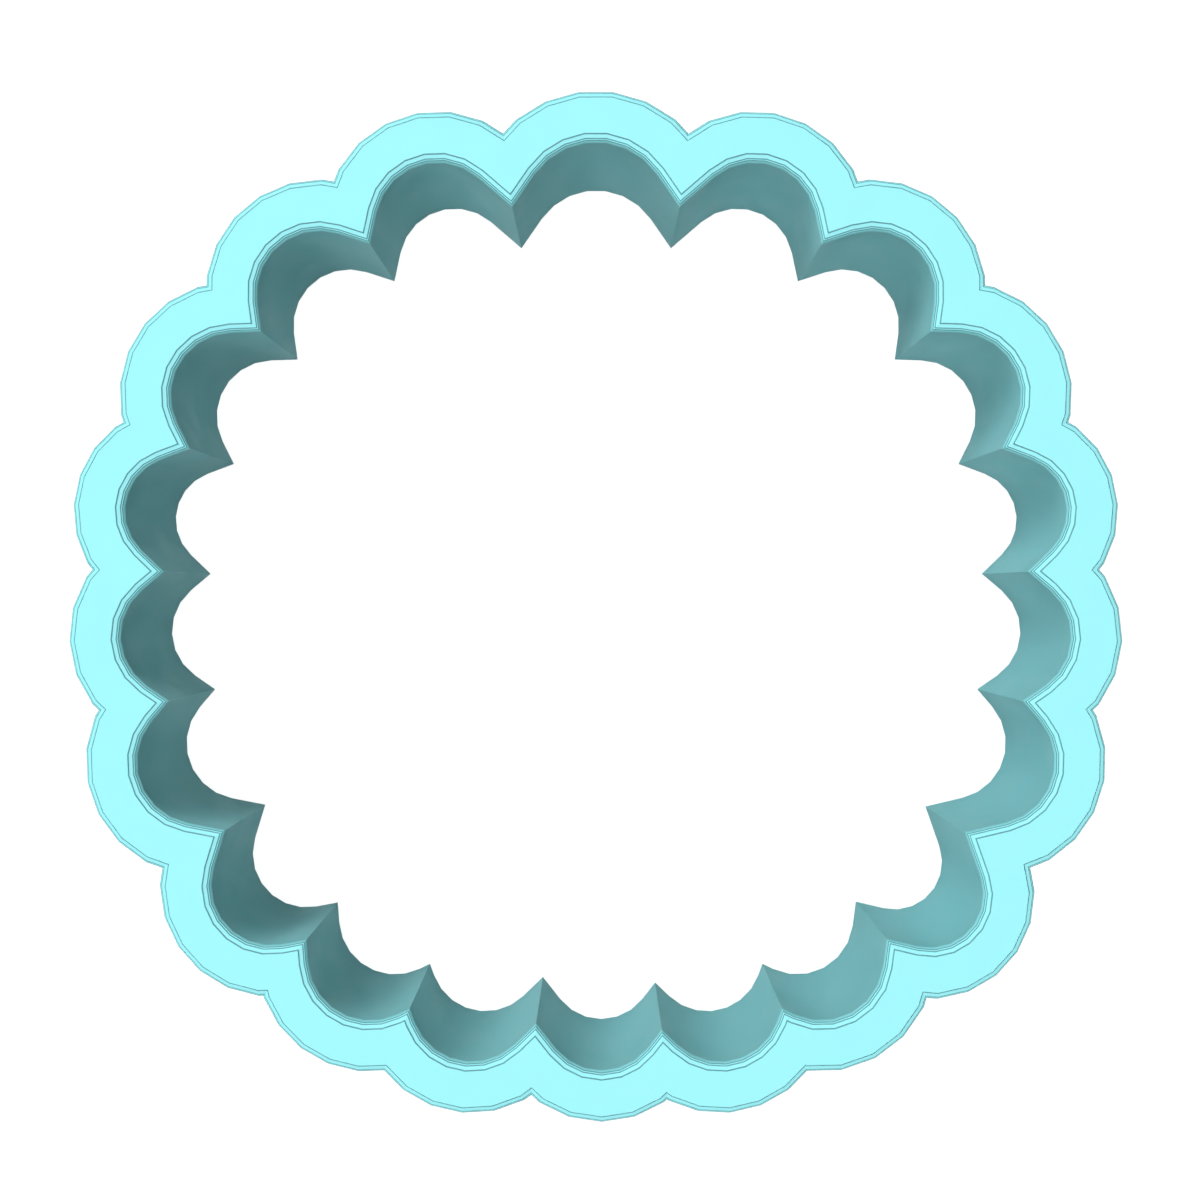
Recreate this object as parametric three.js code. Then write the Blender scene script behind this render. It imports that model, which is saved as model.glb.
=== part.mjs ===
// Scalloped cookie cutter: a flat grip rim seated on a thin upright blade.
// Millimetres, +Z up. The cutting edge stands on z = 0, under a rim whose middle is on the Z axis.

import * as THREE from 'three';
import { mergeVertices } from 'three/addons/utils/BufferGeometryUtils.js';

// Overall size

const HEIGHT = 15; // from the cutting edge to the top of the rim

// Grip rim

const RIM_WIDTH = 4.9; // from the inside of the blade to the outer face
const RIM_THICKNESS = 3;
const RIM_ROUNDING = 0.75; // radius of both top edges
const RIM_ROUNDING_FACETS = 3; // flats in each rounded edge
const RIM_UNDER_CHAMFER = 0.4; // broken outer edge underneath
const RIM_LIP_LAND = 0.25; // upright inner face of the lip, below its rounded edge

// Cutting blade

const BLADE_THICKNESS = 1.2;
const BLADE_EDGE_LAND = 0.45; // flat that is left along the cutting edge
const BLADE_BEVEL_HEIGHT = 5; // height of the sloping flank above the cutting edge

// Fit of the blade in the rim's rebate

const SIDE_CLEARANCE = 0.2;

// Scallops along the inside of the blade. A usual scallop is a round of the radius given here, whose centre
// lies at the reach given here from the middle. The drawing below places each scallop at its turn in degrees,
// clockwise from the top, with its own share of the usual reach and radius.

const SCALLOP_REACH = 40;
const SCALLOP_RADIUS = 5.98;
const SINGLE_SCALLOPS = [
  { turn: 0, reach: 0.932, radius: 1.185 },
  { turn: 130.7, reach: 1.052, radius: 0.85 },
  { turn: 179.2, reach: 0.967, radius: 0.93 },
  { turn: -130.6, reach: 1.02, radius: 0.96 },
];
const PAIRED_SCALLOPS = [
  { turn: 22.5, reach: 0.988, radius: 0.99 },
  { turn: 41.4, reach: 0.998, radius: 1 },
  { turn: 59.7, reach: 1.002, radius: 1 },
  { turn: 77, reach: 1.02, radius: 0.87 },
  { turn: 94, reach: 0.993, radius: 0.96 },
  { turn: 111.3, reach: 1.015, radius: 1 },
  { turn: 147.3, reach: 0.995, radius: 1 },
  { turn: 162.5, reach: 0.985, radius: 0.975 },
];
const FACET_TURN = 17; // degrees that a round turns from one of its flats to the next, about
const FLANK_SLOPE = 48; // degrees between a straight flank and the line that touches both rounds beside it

// Finish

const PLASTIC = { color: 0xa5ffff, roughness: 0.55, metalness: 0 };

// Bearings, in radians counterclockwise from +X

const quarterTurn = Math.PI / 2;

function bearingVector(angle) {
  return new THREE.Vector2(Math.cos(angle), Math.sin(angle));
}

// Scallops in order round the cutter, counterclockwise, with the bearings where each round starts and ends and
// the number of its flats.
function makeScallops() {
  const mirrored = PAIRED_SCALLOPS.map((scallop) => ({ ...scallop, turn: -scallop.turn }));
  const drawn = [...SINGLE_SCALLOPS, ...PAIRED_SCALLOPS, ...mirrored];
  drawn.sort((a, b) => b.turn - a.turn);
  const scallops = drawn.map(({ turn, reach, radius }) => {
    const bearing = quarterTurn - THREE.MathUtils.degToRad(turn);
    const centre = bearingVector(bearing).multiplyScalar(SCALLOP_REACH * reach);
    return { centre, radius: SCALLOP_RADIUS * radius };
  });

  const slope = THREE.MathUtils.degToRad(FLANK_SLOPE);
  scallops.forEach((scallop, i) => {
    const next = scallops[(i + 1) % scallops.length];
    const along = next.centre.clone().sub(scallop.centre);
    const tangentTurn = Math.asin((scallop.radius - next.radius) / along.length());
    const outward = Math.atan2(-along.x, along.y) + tangentTurn;
    scallop.end = outward + slope;
    next.start = outward - slope;
    scallop.flankLength = along.length();
  });

  const facetTurn = THREE.MathUtils.degToRad(FACET_TURN);
  scallops.forEach((scallop) => {
    scallop.sweep = THREE.MathUtils.euclideanModulo(scallop.end - scallop.start, 4 * quarterTurn);
    scallop.facets = Math.max(1, Math.round(scallop.sweep / facetTurn));
  });
  return scallops;
}

const scallops = makeScallops();

// Edge of one scallop at an offset from the inside of the blade: its first straight flank, the corners of its
// faceted round, and its last straight flank. Both flanks run on past their neighbours.
function scallopEdge({ centre, radius, start, end, sweep, facets, flankLength }, offset) {
  const corners = [];
  for (let i = 0; i <= facets; i++) {
    const angle = start + (sweep * i) / facets;
    corners.push(bearingVector(angle).multiplyScalar(radius + offset).add(centre));
  }
  const firstFlank = bearingVector(start - quarterTurn).multiplyScalar(flankLength).add(corners[0]);
  const lastFlank = bearingVector(end + quarterTurn).multiplyScalar(flankLength).add(corners[facets]);
  return [firstFlank, ...corners, lastFlank];
}

// Point where the segment from a to b crosses the segment from c to d, or null.
function segmentCrossing(a, b, c, d) {
  const ab = b.clone().sub(a);
  const cd = d.clone().sub(c);
  const ac = c.clone().sub(a);
  const spread = ab.cross(cd);
  const s = ac.cross(cd) / spread;
  const t = ac.cross(ab) / spread;
  const crosses = s >= 0 && s < 1 && t >= 0 && t < 1;
  return crosses ? a.clone().addScaledVector(ab, s) : null;
}

// Sharp notch where the end of one scallop's edge meets the start of the next one's.
function findNotch(edge, nextEdge) {
  for (let i = edge.length - 2; i >= 0; i--) {
    for (let j = 0; j < nextEdge.length - 1; j++) {
      const point = segmentCrossing(edge[i], edge[i + 1], nextEdge[j], nextEdge[j + 1]);
      if (point) {
        return { point, lastCorner: i, firstCorner: j + 1 };
      }
    }
  }
  throw new Error('Two neighbouring scallops do not meet');
}

// Closed outline at an offset from the inside of the blade, counterclockwise. Every outline has the same
// number of points: a corner that lies past its notch moves onto the notch.
function outline(offset) {
  const edges = scallops.map((scallop) => scallopEdge(scallop, offset));
  const notches = edges.map((edge, i) => findNotch(edge, edges[(i + 1) % edges.length]));
  return edges.flatMap((edge, i) => {
    const before = notches.at(i - 1);
    const after = notches[i];
    const corners = edge.slice(1, -1).map((corner, k) => {
      if (k + 1 < before.firstCorner) {
        return before.point;
      }
      return k + 1 > after.lastCorner ? after.point : corner;
    });
    return [...corners, after.point];
  });
}

const middle = new THREE.Box2().setFromPoints(outline(RIM_WIDTH)).getCenter(new THREE.Vector2());

// Solid swept round the outline from a closed section of [offset, height] points, listed counterclockwise.
function sweepSection(section) {
  const rings = section.map(([offset, height]) => {
    return outline(offset).map((point) => new THREE.Vector3(point.x - middle.x, point.y - middle.y, height));
  });
  const count = rings[0].length;
  const quads = [];
  for (let i = 0; i < rings.length; i++) {
    for (let j = 0; j < count; j++) {
      const next = (j + 1) % count;
      const above = (i + 1) % rings.length;
      quads.push(i * count + j, i * count + next, above * count + next);
      quads.push(i * count + j, above * count + next, above * count + j);
    }
  }
  const drawn = new THREE.BufferGeometry().setFromPoints(rings.flat());
  drawn.setIndex(quads);
  return withoutCollapsedTriangles(mergeVertices(drawn));
}

// Corners that moved onto a notch leave triangles with no area, which are dropped here.
function withoutCollapsedTriangles(geometry) {
  const index = geometry.getIndex().array;
  const kept = [];
  for (let i = 0; i < index.length; i += 3) {
    const [a, b, c] = index.slice(i, i + 3);
    if (a !== b && b !== c && c !== a) {
      kept.push(a, b, c);
    }
  }
  geometry.setIndex(kept);
  geometry.computeVertexNormals();
  return geometry;
}

// Quarter round of the rim's top edge: shares of its radius inward from the side and down from the top.
function roundingSteps() {
  const steps = [];
  for (let i = 0; i <= RIM_ROUNDING_FACETS; i++) {
    const angle = (i / RIM_ROUNDING_FACETS) * quarterTurn;
    steps.push({ inward: RIM_ROUNDING * (1 - Math.cos(angle)), down: RIM_ROUNDING * (1 - Math.sin(angle)) });
  }
  return steps;
}

// Heights that both pieces share

const seatHeight = HEIGHT - RIM_ROUNDING - RIM_LIP_LAND;
const rimUnderside = HEIGHT - RIM_THICKNESS;

// Rim: a flat pad with two rounded top edges, a lip over the blade, and a rebate behind the blade.
function gripRim() {
  const rebate = BLADE_THICKNESS + SIDE_CLEARANCE;
  const outerRounding = roundingSteps().map(({ inward, down }) => [RIM_WIDTH - inward, HEIGHT - down]);
  const innerRounding = roundingSteps().map(({ inward, down }) => [inward, HEIGHT - down]).reverse();
  return sweepSection([
    [rebate, rimUnderside],
    [RIM_WIDTH - RIM_UNDER_CHAMFER, rimUnderside],
    [RIM_WIDTH, rimUnderside + RIM_UNDER_CHAMFER],
    ...outerRounding,
    ...innerRounding,
    [0, seatHeight],
    [rebate, seatHeight],
  ]);
}

// Blade: upright inside, bevelled outside down to the cutting edge, and flat on top where the lip sits.
function cuttingBlade() {
  return sweepSection([
    [0, 0],
    [BLADE_EDGE_LAND, 0],
    [BLADE_THICKNESS, BLADE_BEVEL_HEIGHT],
    [BLADE_THICKNESS, seatHeight],
    [0, seatHeight],
  ]);
}

function makePiece(name, geometry) {
  const piece = new THREE.Mesh(geometry, new THREE.MeshStandardMaterial(PLASTIC));
  piece.name = name;
  return piece;
}

const cookieCutter = new THREE.Group();
cookieCutter.add(makePiece('grip_rim', gripRim()));
cookieCutter.add(makePiece('cutting_blade', cuttingBlade()));

export default cookieCutter;
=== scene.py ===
"""Looks of a scalloped cookie cutter: a printed plastic rim and blade on a white floor, seen from above."""

import math
from itertools import accumulate

import bpy
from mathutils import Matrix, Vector


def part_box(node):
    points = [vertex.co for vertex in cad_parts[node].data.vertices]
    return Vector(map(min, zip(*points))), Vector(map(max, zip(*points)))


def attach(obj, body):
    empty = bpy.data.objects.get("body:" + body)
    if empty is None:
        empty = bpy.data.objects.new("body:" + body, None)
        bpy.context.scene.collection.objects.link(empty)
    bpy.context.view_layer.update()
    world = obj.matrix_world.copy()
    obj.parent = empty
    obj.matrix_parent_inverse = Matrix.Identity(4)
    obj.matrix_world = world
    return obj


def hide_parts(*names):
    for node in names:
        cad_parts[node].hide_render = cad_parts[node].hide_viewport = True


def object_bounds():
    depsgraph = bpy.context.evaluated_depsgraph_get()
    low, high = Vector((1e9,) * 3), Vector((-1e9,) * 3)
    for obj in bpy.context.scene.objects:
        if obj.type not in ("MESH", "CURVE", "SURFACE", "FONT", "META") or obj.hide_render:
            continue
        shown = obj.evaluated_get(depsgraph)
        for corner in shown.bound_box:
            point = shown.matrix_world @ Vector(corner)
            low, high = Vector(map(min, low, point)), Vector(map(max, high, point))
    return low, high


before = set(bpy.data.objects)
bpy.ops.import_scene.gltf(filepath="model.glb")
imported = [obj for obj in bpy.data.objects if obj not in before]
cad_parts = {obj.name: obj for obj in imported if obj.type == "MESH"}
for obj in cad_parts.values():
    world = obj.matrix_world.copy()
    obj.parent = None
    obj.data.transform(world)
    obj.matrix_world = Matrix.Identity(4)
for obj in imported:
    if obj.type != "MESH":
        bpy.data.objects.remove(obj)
cad_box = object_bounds()

MM = 0.001
SAME_POINT = 1e-6  # millimetres between two points that count as one

# Rim and blade, in millimetres from the inside of the blade outwards

RIM_WIDTH = 4.9
RIM_UNDER_CHAMFER = 0.4
BLADE_THICKNESS = 1.2
BLADE_EDGE_LAND = 0.45
BLADE_BEVEL_HEIGHT = 5
SIDE_CLEARANCE = 0.2

# Rounded top edges of the rim, in millimetres: the upright side ends at the side crease. Above it each crease
# is given in from the side and down from the top, with the width of the fine real step that runs along it,
# whose faces are coloured darker as painted shade.

SIDE_CREASE = (0, 0.6)
STEPPED_CREASES = ((0.17, 0.29, 0.06), (0.33, 0.17, 0.08), (0.75, 0, 0.11))
STEP_DROP = 0.07

# Scallops along the inside of the blade: turn in degrees clockwise from the top, and shares of the usual
# reach and radius, which are in millimetres

SCALLOP_REACH = 40
SCALLOP_RADIUS = 5.98
SINGLE_SCALLOPS = (
    (0, 0.932, 1.185),
    (130.7, 1.052, 0.85),
    (179.2, 0.967, 0.93),
    (-130.6, 1.02, 0.96),
)
PAIRED_SCALLOPS = (
    (22.5, 0.988, 0.99),
    (41.4, 0.998, 1),
    (59.7, 1.002, 1),
    (77, 1.02, 0.87),
    (94, 0.993, 0.96),
    (111.3, 1.015, 1),
    (147.3, 0.995, 1),
    (162.5, 0.985, 0.975),
)
FACET_TURN = 17
FLANK_SLOPE = 48

# Camera: straight down from above the middle. The shift is what the photograph's framing needs.

CAMERA_LENS = 37.6
CAMERA_SENSOR = 36
CAMERA_PLACE = (0.304, 1.477, 134.05)
CAMERA_SHIFT = (0.0008, -0.0071)

# Light, in metres, and as shares of a plain level where a white surface that faces up renders white

TOP_LIGHT = 0.845
TOP_LIGHT_PLACE = (0, 0, 1.5)
TOP_LIGHT_SIZE = 0.8
KEY_LIGHT = 0.41
KEY_LIGHT_PLACE = (-0.89, 0.95, 0.75)
KEY_LIGHT_SIZE = 1
FILL_LIGHT = 0.15
FILL_LIGHT_PLACE = (-0.75, -1.05, 0.75)
FILL_LIGHT_SIZE = 1
AMBIENT_LIGHT = 0.004

# Printed surface: sizes in millimetres, and the spread of its colour and roughness

LAYER_HEIGHT = 0.24
LAYER_DEPTH = 0.02
LAYER_STRENGTH = 0.3
GRAIN_SIZE = 0.12
GRAIN_DEPTH = 0.01
GRAIN_STRENGTH = 0.25
TINT_SIZE = 6
TINT_SPREAD = 0.015
GLOSS_SIZE = 2.5
ROUGHNESS_RANGE = (0.5, 0.62)
SPECULAR_LEVEL = 0.2

# Colours, linear

PLASTIC_COLOUR = (0.352, 0.92, 0.965)
# Darker copy of the plastic for the faces of the fine steps along the rim's creases: painted shade in the
# creases
PAINTED_CREASE_SHADE_COLOUR = (0.12, 0.35, 0.39)

# Floor, in metres, just below the object. As it is seen it has its own glow, near the object and far out,
# between two distances, and adds a share of the lamps' light. Its bounce is what it throws on the object.

FLOOR_SIZE = 6
FLOOR_GAP = 0.02 * MM
FLOOR_GLOW = (0.85, 1)
FLOOR_FADE = (0.08, 0.4)
FLOOR_SHADE = 0.3
FLOOR_BOUNCE = 0.02


# Outline of the cutter


class Scallop:
    """One round of the outline: its centre and radius, and the bearings where its straight flanks begin."""

    def __init__(self, turn, reach, radius):
        bearing = math.radians(90 - turn)
        self.centre = bearing_vector(bearing) * SCALLOP_REACH * reach
        self.radius = SCALLOP_RADIUS * radius


def bearing_vector(angle):
    return Vector((math.cos(angle), math.sin(angle)))


def make_scallops():
    """Scallops in order round the cutter, counterclockwise."""
    drawn = list(SINGLE_SCALLOPS)
    for turn, reach, radius in PAIRED_SCALLOPS:
        drawn += [(turn, reach, radius), (-turn, reach, radius)]
    scallops = [Scallop(*entry) for entry in sorted(drawn, reverse=True)]
    slope = math.radians(FLANK_SLOPE)
    for scallop, following in zip(scallops, scallops[1:] + scallops[:1]):
        along = following.centre - scallop.centre
        tangent_turn = math.asin((scallop.radius - following.radius) / along.length)
        outward = math.atan2(-along.x, along.y) + tangent_turn
        scallop.end = outward + slope
        following.start = outward - slope
        scallop.flank_length = along.length
    for scallop in scallops:
        scallop.sweep = (scallop.end - scallop.start) % (2 * math.pi)
        scallop.facets = round(math.degrees(scallop.sweep) / FACET_TURN)
    return scallops


SCALLOPS = make_scallops()


def scallop_edge(scallop, offset):
    """Corners of one faceted round, between the far ends of its two straight flanks."""
    corners = []
    for i in range(scallop.facets + 1):
        angle = scallop.start + scallop.sweep * i / scallop.facets
        corners.append(scallop.centre + bearing_vector(angle) * (scallop.radius + offset))
    quarter_turn = math.pi / 2
    first = corners[0] + bearing_vector(scallop.start - quarter_turn) * scallop.flank_length
    last = corners[-1] + bearing_vector(scallop.end + quarter_turn) * scallop.flank_length
    return [first, *corners, last]


def segment_crossing(a, b, c, d):
    """Point where the segment from a to b crosses the segment from c to d, or None."""
    ab, cd, ac = b - a, d - c, c - a
    spread = ab.cross(cd)
    s = ac.cross(cd) / spread
    t = ac.cross(ab) / spread
    crosses = 0 <= s < 1 and 0 <= t < 1
    return a + ab * s if crosses else None


def find_notch(edge, following):
    """Sharp notch between two scallops, with the last corner before it and the first corner after it."""
    for i in reversed(range(len(edge) - 1)):
        for j in range(len(following) - 1):
            point = segment_crossing(edge[i], edge[i + 1], following[j], following[j + 1])
            if point:
                return point, i, j + 1
    raise ValueError("two neighbouring scallops do not meet")


def outline(offset):
    """Closed outline at an offset: one list for each scallop, of corners and then its notch.

    A corner that lies past a notch is listed as that notch, so every outline has as many points."""
    edges = [scallop_edge(scallop, offset) for scallop in SCALLOPS]
    notches = [find_notch(edge, edges[(i + 1) % len(edges)]) for i, edge in enumerate(edges)]
    points = []
    for i, edge in enumerate(edges):
        start, _, first_corner = notches[i - 1]
        end, last_corner, _ = notches[i]
        for k in range(1, len(edge) - 1):
            if k < first_corner:
                points.append(start)
            elif k > last_corner:
                points.append(end)
            else:
                points.append(edge[k])
        points.append(end)
    return points


def middle_of(points):
    """Middle of the box round some points."""
    xs = [point.x for point in points]
    ys = [point.y for point in points]
    return Vector((min(xs) + max(xs), min(ys) + max(ys))) / 2


MIDDLE = middle_of(outline(RIM_WIDTH))
NOTCH_PLACES = [total - 1 for total in accumulate(scallop.facets + 2 for scallop in SCALLOPS)]


# Sections, as lists of (offset, height) in millimetres, counterclockwise


def rounded_edge():
    """Profile of a rounded edge as (in from the side, down from the top), upwards from the upright side.

    Each stepped crease gives two points: the foot of its step, then the crease itself."""
    profile = [SIDE_CREASE]
    for inset, drop, width in STEPPED_CREASES:
        profile += [(inset - width, drop + STEP_DROP), (inset, drop)]
    return profile


def rim_section():
    low, high = (corner.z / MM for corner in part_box("grip_rim"))
    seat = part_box("cutting_blade")[1].z / MM
    rebate = BLADE_THICKNESS + SIDE_CLEARANCE
    section = [
        (rebate, low),
        (RIM_WIDTH - RIM_UNDER_CHAMFER, low),
        (RIM_WIDTH, low + RIM_UNDER_CHAMFER),
    ]
    edge = rounded_edge()
    outer_edge = [(RIM_WIDTH - inset, high - drop) for inset, drop in edge]
    inner_edge = [(inset, high - drop) for inset, drop in reversed(edge)]
    # Places of the fine steps whose faces take the darker colour that is painted shade in the creases
    outer_painted_shade_steps = range(len(section) + 1, len(section) + len(edge), 2)
    section += outer_edge
    inner_painted_shade_steps = range(len(section), len(section) + len(edge) - 1, 2)
    section += inner_edge
    section += [(0, seat), (rebate, seat)]
    return section, [*outer_painted_shade_steps, *inner_painted_shade_steps]


def blade_section():
    low, high = (corner.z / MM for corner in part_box("cutting_blade"))
    section = [
        (0, low),
        (BLADE_EDGE_LAND, low),
        (BLADE_THICKNESS, low + BLADE_BEVEL_HEIGHT),
        (BLADE_THICKNESS, high),
        (0, high),
    ]
    return section, []


# Meshes


def sweep_section(name, section, painted_shade_places):
    """Mesh of a section swept round the outline, smooth along each scallop and sharp at creases and notches.

    The faces of the fine steps, at the listed places in the section, take the second material, a darker
    colour that is painted shade in the creases."""
    vertices = []
    rings = []
    for offset, height in section:
        ring = []
        previous = None
        for point in outline(offset):
            if previous is None or (point - previous).length > SAME_POINT:
                vertices.append(((point.x - MIDDLE.x) * MM, (point.y - MIDDLE.y) * MM, height * MM))
            ring.append(len(vertices) - 1)
            previous = point
        rings.append(ring)
    faces = []
    face_materials = []
    for i, (ring, above) in enumerate(zip(rings, rings[1:] + rings[:1])):
        for j in range(len(ring)):
            k = (j + 1) % len(ring)
            corners = list(dict.fromkeys((ring[j], ring[k], above[k], above[j])))
            if len(corners) > 2:
                faces.append(corners)
                # Step faces take the second material, the painted crease shade
                face_materials.append(1 if i in painted_shade_places else 0)
    mesh = bpy.data.meshes.new(name)
    mesh.from_pydata(vertices, [], faces)
    mesh.polygons.foreach_set("material_index", face_materials)
    mesh.shade_smooth()
    mark_sharp_edges(mesh, rings)
    piece = bpy.data.objects.new(name, mesh)
    bpy.context.scene.collection.objects.link(piece)
    return piece


def mark_sharp_edges(mesh, rings):
    """Creases of the section and the notches between scallops are sharp."""
    ring_of = {}
    notch_corners = set()
    for i, ring in enumerate(rings):
        ring_of.update({vertex: i for vertex in ring})
        notch_corners.update(ring[place] for place in NOTCH_PLACES)
    for edge in mesh.edges:
        a, b = edge.vertices
        edge.use_edge_sharp = ring_of[a] == ring_of[b] or {a, b} <= notch_corners


# Materials


def new_material(name):
    material = bpy.data.materials.new(name)
    material.use_nodes = True
    nodes = material.node_tree.nodes
    nodes.clear()
    output = nodes.new("ShaderNodeOutputMaterial")
    return material, nodes, material.node_tree.links, output


def add_noise(nodes, links, place, feature_size, detail):
    """Soft noise whose features are about this many millimetres across."""
    noise = nodes.new("ShaderNodeTexNoise")
    noise.inputs["Scale"].default_value = 1 / (feature_size * MM)
    noise.inputs["Detail"].default_value = detail
    links.new(place, noise.inputs["Vector"])
    return noise.outputs["Fac"]


def add_range(nodes, links, value, low, high):
    """The value, from the middle stretch of a noise, spread from low to high."""
    spread = nodes.new("ShaderNodeMapRange")
    spread.inputs["From Min"].default_value = 0.3
    spread.inputs["From Max"].default_value = 0.7
    spread.inputs["To Min"].default_value = low
    spread.inputs["To Max"].default_value = high
    links.new(value, spread.inputs["Value"])
    return spread.outputs["Result"]


def add_bump(nodes, links, height, depth, strength, under=None):
    """Bump of a depth in millimetres, over the bump that lies under it."""
    bump = nodes.new("ShaderNodeBump")
    bump.inputs["Distance"].default_value = depth * MM
    bump.inputs["Strength"].default_value = strength
    links.new(height, bump.inputs["Height"])
    if under:
        links.new(under, bump.inputs["Normal"])
    return bump.outputs["Normal"]


def add_layer_lines(nodes, links, place):
    """Level lines of printing, one to a layer, slightly uneven."""
    lines = nodes.new("ShaderNodeTexWave")
    lines.wave_type = "BANDS"
    lines.bands_direction = "Z"
    lines.inputs["Scale"].default_value = 2 * math.pi / (20 * LAYER_HEIGHT * MM)
    lines.inputs["Distortion"].default_value = 0.6
    lines.inputs["Detail Scale"].default_value = 0.2
    links.new(place, lines.inputs["Vector"])
    return lines.outputs["Fac"]


def printed_plastic(name, colour):
    """Satin printed plastic: level layer lines, a fine grain, slightly uneven colour and gloss."""
    material, nodes, links, output = new_material(name)
    place = nodes.new("ShaderNodeTexCoord").outputs["Object"]
    shader = nodes.new("ShaderNodeBsdfPrincipled")
    shader.inputs["Specular IOR Level"].default_value = SPECULAR_LEVEL

    tint = nodes.new("ShaderNodeMix")
    tint.data_type = "RGBA"
    tint.inputs["A"].default_value = (*(channel * (1 - TINT_SPREAD) for channel in colour), 1)
    tint.inputs["B"].default_value = (*(channel * (1 + TINT_SPREAD) for channel in colour), 1)
    links.new(add_noise(nodes, links, place, TINT_SIZE, 3), tint.inputs["Factor"])
    links.new(tint.outputs["Result"], shader.inputs["Base Color"])

    gloss = add_range(nodes, links, add_noise(nodes, links, place, GLOSS_SIZE, 4), *ROUGHNESS_RANGE)
    links.new(gloss, shader.inputs["Roughness"])

    layers = add_layer_lines(nodes, links, place)
    layered = add_bump(nodes, links, layers, LAYER_DEPTH, LAYER_STRENGTH)
    grain = add_noise(nodes, links, place, GRAIN_SIZE, 2)
    grained = add_bump(nodes, links, grain, GRAIN_DEPTH, GRAIN_STRENGTH, layered)
    links.new(grained, shader.inputs["Normal"])
    links.new(shader.outputs["BSDF"], output.inputs["Surface"])
    return material


# Studio


def seen_directly(nodes, links):
    """1 for rays that show a surface to the camera, directly or mirrored, and 0 for rays that light."""
    path = nodes.new("ShaderNodeLightPath")
    total = path.outputs["Is Camera Ray"]
    for name in ("Is Glossy Ray", "Is Transmission Ray"):
        either = nodes.new("ShaderNodeMath")
        either.operation = "MAXIMUM"
        links.new(total, either.inputs[0])
        links.new(path.outputs[name], either.inputs[1])
        total = either.outputs["Value"]
    return total


def make_floor():
    """White floor that keeps the object's shadow. Past the shadow it glows white, out of the lamps too."""
    bpy.ops.mesh.primitive_plane_add(size=FLOOR_SIZE, location=(0, 0, cad_box[0].z - FLOOR_GAP))
    floor = bpy.context.object
    floor.name = "floor"
    material, nodes, links, output = new_material("white_floor")
    place = nodes.new("ShaderNodeTexCoord").outputs["Object"]
    distance = nodes.new("ShaderNodeVectorMath")
    distance.operation = "LENGTH"
    links.new(place, distance.inputs[0])
    whiter = nodes.new("ShaderNodeMapRange")
    whiter.inputs["From Min"].default_value, whiter.inputs["From Max"].default_value = FLOOR_FADE
    whiter.inputs["To Min"].default_value, whiter.inputs["To Max"].default_value = FLOOR_GLOW
    links.new(distance.outputs["Value"], whiter.inputs["Value"])
    glow = nodes.new("ShaderNodeEmission")
    links.new(whiter.outputs["Result"], glow.inputs["Strength"])
    matt = nodes.new("ShaderNodeBsdfDiffuse")
    matt.inputs["Color"].default_value = (FLOOR_SHADE, FLOOR_SHADE, FLOOR_SHADE, 1)
    shown = nodes.new("ShaderNodeAddShader")
    bounce = nodes.new("ShaderNodeBsdfDiffuse")
    bounce.inputs["Color"].default_value = (FLOOR_BOUNCE, FLOOR_BOUNCE, FLOOR_BOUNCE, 1)
    choice = nodes.new("ShaderNodeMixShader")
    links.new(glow.outputs[0], shown.inputs[0])
    links.new(matt.outputs[0], shown.inputs[1])
    links.new(seen_directly(nodes, links), choice.inputs[0])
    links.new(bounce.outputs[0], choice.inputs[1])
    links.new(shown.outputs[0], choice.inputs[2])
    links.new(choice.outputs[0], output.inputs["Surface"])
    floor.data.materials.append(material)


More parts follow.
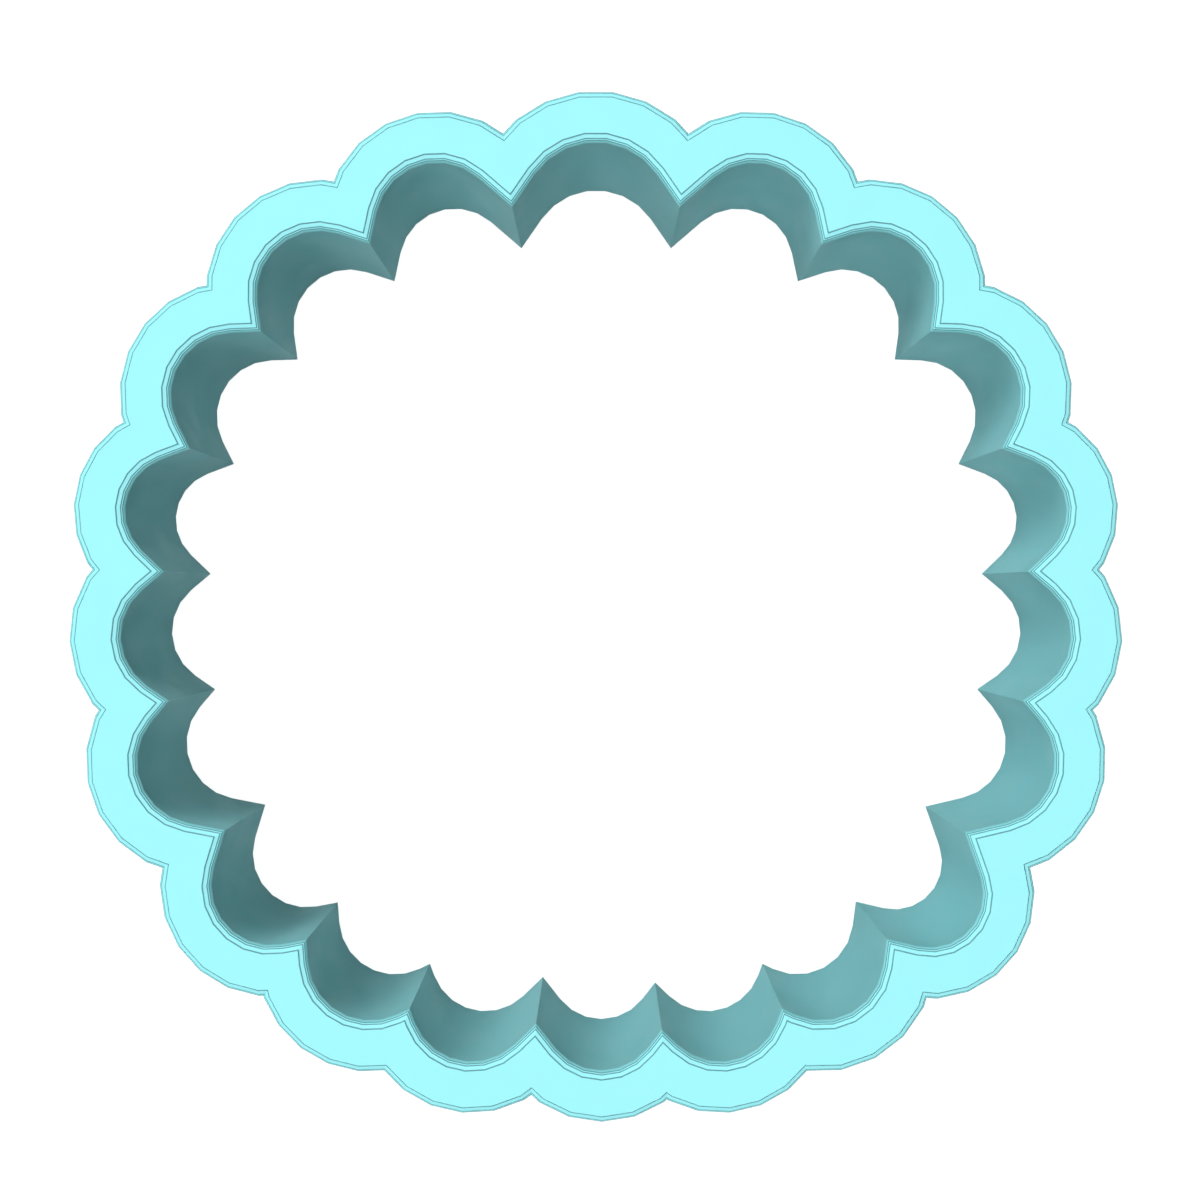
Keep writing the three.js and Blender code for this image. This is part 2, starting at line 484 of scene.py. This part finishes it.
def make_world():
    world = bpy.data.worlds.new("white_studio")
    world.use_nodes = True
    nodes = world.node_tree.nodes
    links = world.node_tree.links
    nodes.clear()
    output = nodes.new("ShaderNodeOutputWorld")
    ambient = nodes.new("ShaderNodeBackground")
    ambient.inputs["Strength"].default_value = AMBIENT_LIGHT
    white = nodes.new("ShaderNodeBackground")
    choice = nodes.new("ShaderNodeMixShader")
    white.inputs["Color"].default_value = (1, 1, 1, 1)
    ambient.inputs["Color"].default_value = (1, 1, 1, 1)
    links.new(seen_directly(nodes, links), choice.inputs[0])
    links.new(ambient.outputs[0], choice.inputs[1])
    links.new(white.outputs[0], choice.inputs[2])
    links.new(choice.outputs[0], output.inputs["Surface"])
    bpy.context.scene.world = world


def make_softbox(name, place, size, level):
    """Lamp that faces the object. A level of 1 lights a surface square to it about as brightly as white."""
    lamp = bpy.data.lights.new(name, "AREA")
    lamp.size = size
    lamp.energy = level * (math.pi * Vector(place).length) ** 2
    softbox = bpy.data.objects.new(name, lamp)
    softbox.location = place
    softbox.rotation_euler = Vector(place).to_track_quat("Z", "Y").to_euler()
    bpy.context.scene.collection.objects.link(softbox)


def make_camera():
    camera = bpy.data.cameras.new("camera")
    camera.lens = CAMERA_LENS
    camera.sensor_width = CAMERA_SENSOR
    camera.shift_x, camera.shift_y = CAMERA_SHIFT
    camera.clip_start = MM
    mount = bpy.data.objects.new("camera", camera)
    mount.location = Vector(CAMERA_PLACE) * MM
    bpy.context.scene.collection.objects.link(mount)
    bpy.context.scene.camera = mount


# The object

rim = sweep_section("printed_rim", *rim_section())
rim.data.materials.append(printed_plastic("rim_plastic", PLASTIC_COLOUR))
# Darker copy of the plastic on the step faces: painted shade in the rim's creases
rim.data.materials.append(printed_plastic("rim_painted_crease_shade", PAINTED_CREASE_SHADE_COLOUR))
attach(rim, "root")
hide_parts("grip_rim")

blade = sweep_section("printed_blade", *blade_section())
blade.data.materials.append(printed_plastic("blade_plastic", PLASTIC_COLOUR))
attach(blade, "root")
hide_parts("cutting_blade")

# The studio

make_floor()
make_world()
make_softbox("top_light", TOP_LIGHT_PLACE, TOP_LIGHT_SIZE, TOP_LIGHT)
make_softbox("key_light", KEY_LIGHT_PLACE, KEY_LIGHT_SIZE, KEY_LIGHT)
make_softbox("fill_light", FILL_LIGHT_PLACE, FILL_LIGHT_SIZE, FILL_LIGHT)
make_camera()
bpy.context.scene.view_settings.view_transform = "Standard"
